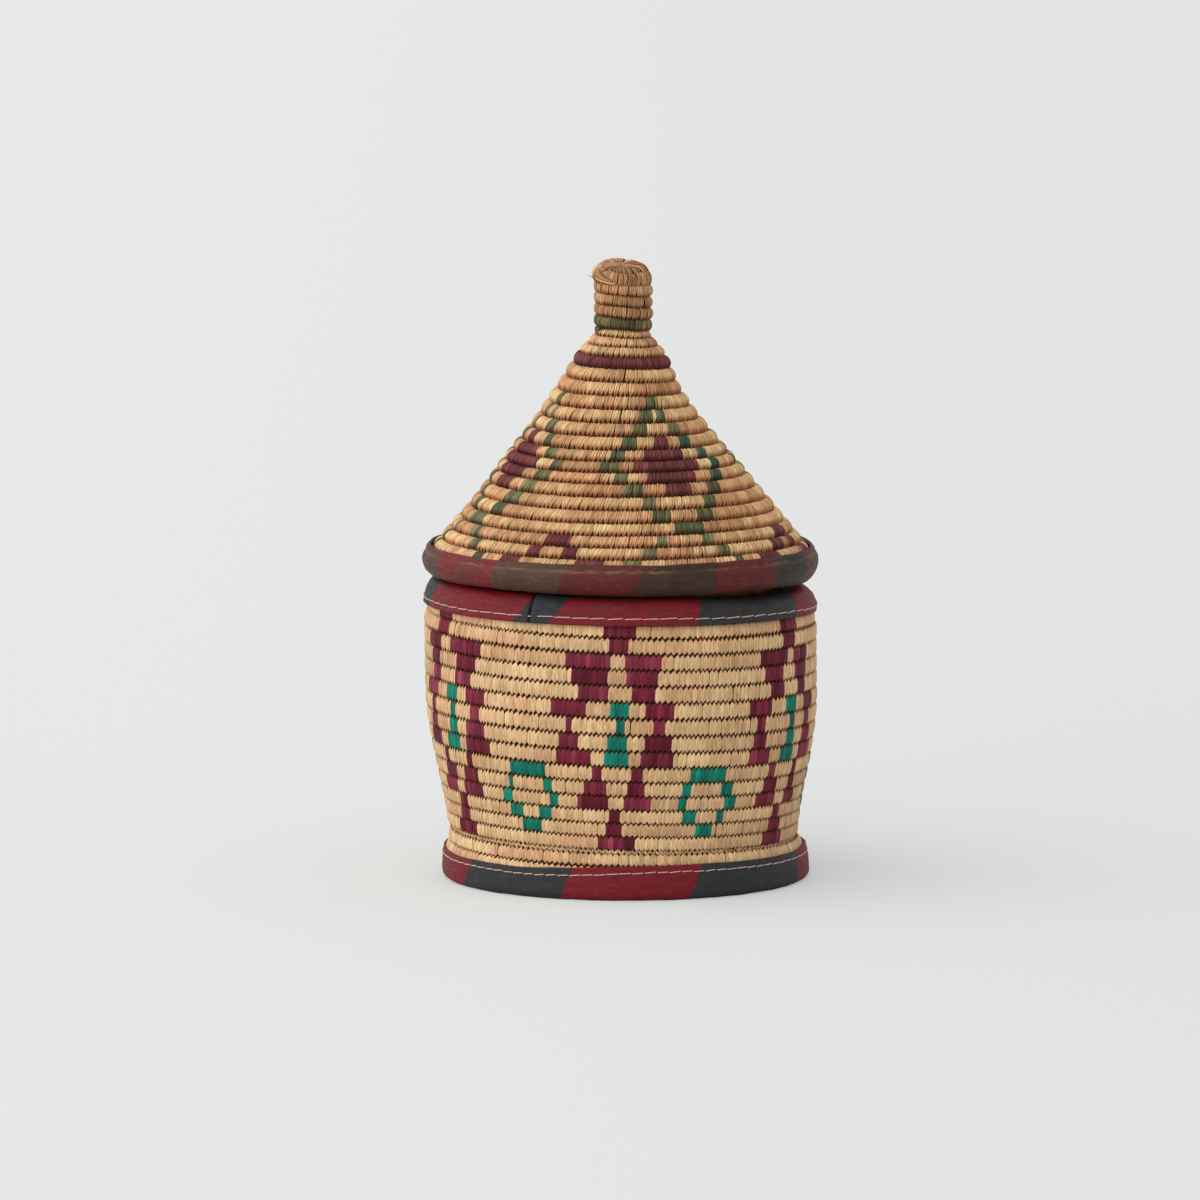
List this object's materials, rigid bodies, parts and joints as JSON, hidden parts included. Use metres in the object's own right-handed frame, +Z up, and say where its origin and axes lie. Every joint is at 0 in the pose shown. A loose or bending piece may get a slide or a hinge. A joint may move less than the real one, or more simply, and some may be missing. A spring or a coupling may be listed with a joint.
{
  "type": "lidded coiled basket",
  "caption": "Round coiled straw basket on a foot ring, with a leather-bound mouth and a lift-off cone lid with a coiled knob.",
  "frame": {"origin": "on the floor under the middle of the basket", "axes": "+Z up through the knob, -Y to the front, +X to the right"},
  "size_m": [0.1572, 0.1572, 0.2475],
  "materials": {
    "body_straw": "matte",
    "lid_straw": "matte",
    "bright_leather": "satin",
    "worn_leather": "satin",
    "thread": "matte"
  },
  "bodies": {
    "basket": {"floor_coil": "body_straw", "wall_coil": "body_straw", "foot_coil": "body_straw", "foot_binding": "bright_leather", "foot_thread": "thread", "mouth_binding": "bright_leather", "mouth_thread": "thread"},
    "lid": {"lid_coil": "lid_straw", "knob_coil": "lid_straw", "lid_collar": "lid_straw", "lid_binding": "worn_leather"}
  },
  "joints": [
    {"name": "lid_lift", "type": "slide", "parent": "basket", "child": "lid", "axis": [0, 0, 1], "range_m": [0, 0.1]}
  ]
}
